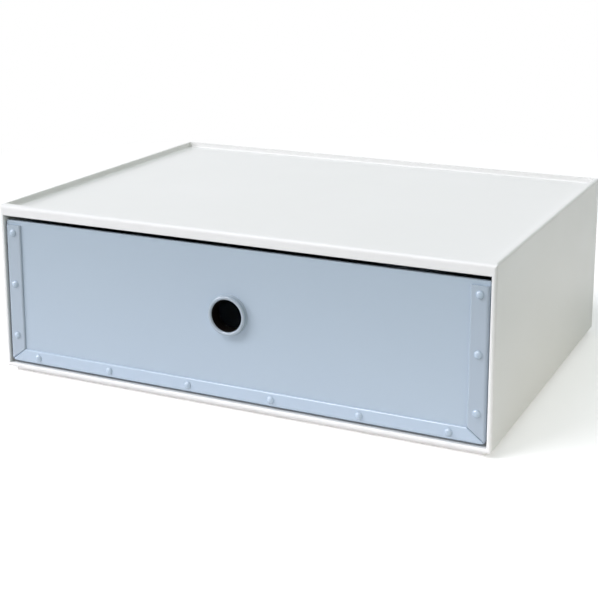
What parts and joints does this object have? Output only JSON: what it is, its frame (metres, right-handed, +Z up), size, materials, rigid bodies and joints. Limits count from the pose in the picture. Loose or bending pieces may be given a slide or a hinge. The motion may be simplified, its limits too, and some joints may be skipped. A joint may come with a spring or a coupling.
{
  "type": "stackable drawer box",
  "caption": "White moulded drawer box with a recessed deck and a foot ring for stacking, and a pale blue drawer with riveted edge strips and a round finger pull.",
  "frame": {"origin": "middle of the whole shut box in plan, on the plane that the foot ring stands on", "axes": "+X across the front, to the right of someone who faces the drawer; +Y from the drawer front to the rear panel; +Z up"},
  "size_m": [0.37, 0.2736, 0.126],
  "materials": {
    "case_white": "white, smooth moulded satin gloss",
    "drawer_blue": "pale blue, low sheen",
    "trim_blue": "pale blue, soft gloss",
    "pull_blue": "grey blue, soft gloss",
    "collar_black": "black, low sheen"
  },
  "bodies": {
    "carcass": {"carcass_shell": "case_white", "carcass_back": "case_white"},
    "drawer": {"drawer_tray": "drawer_blue", "drawer_front": "drawer_blue", "strip_left": "trim_blue", "strip_bottom": "trim_blue", "strip_right": "trim_blue", "rivets_left": "trim_blue", "rivets_bottom": "trim_blue", "rivets_right": "trim_blue", "finger_ring": "pull_blue", "ring_collar": "collar_black"}
  },
  "joints": [
    {"name": "drawer_slide", "type": "slide", "parent": "carcass", "child": "drawer", "axis": [0, -1, 0], "range_m": [0, 0.195]}
  ]
}
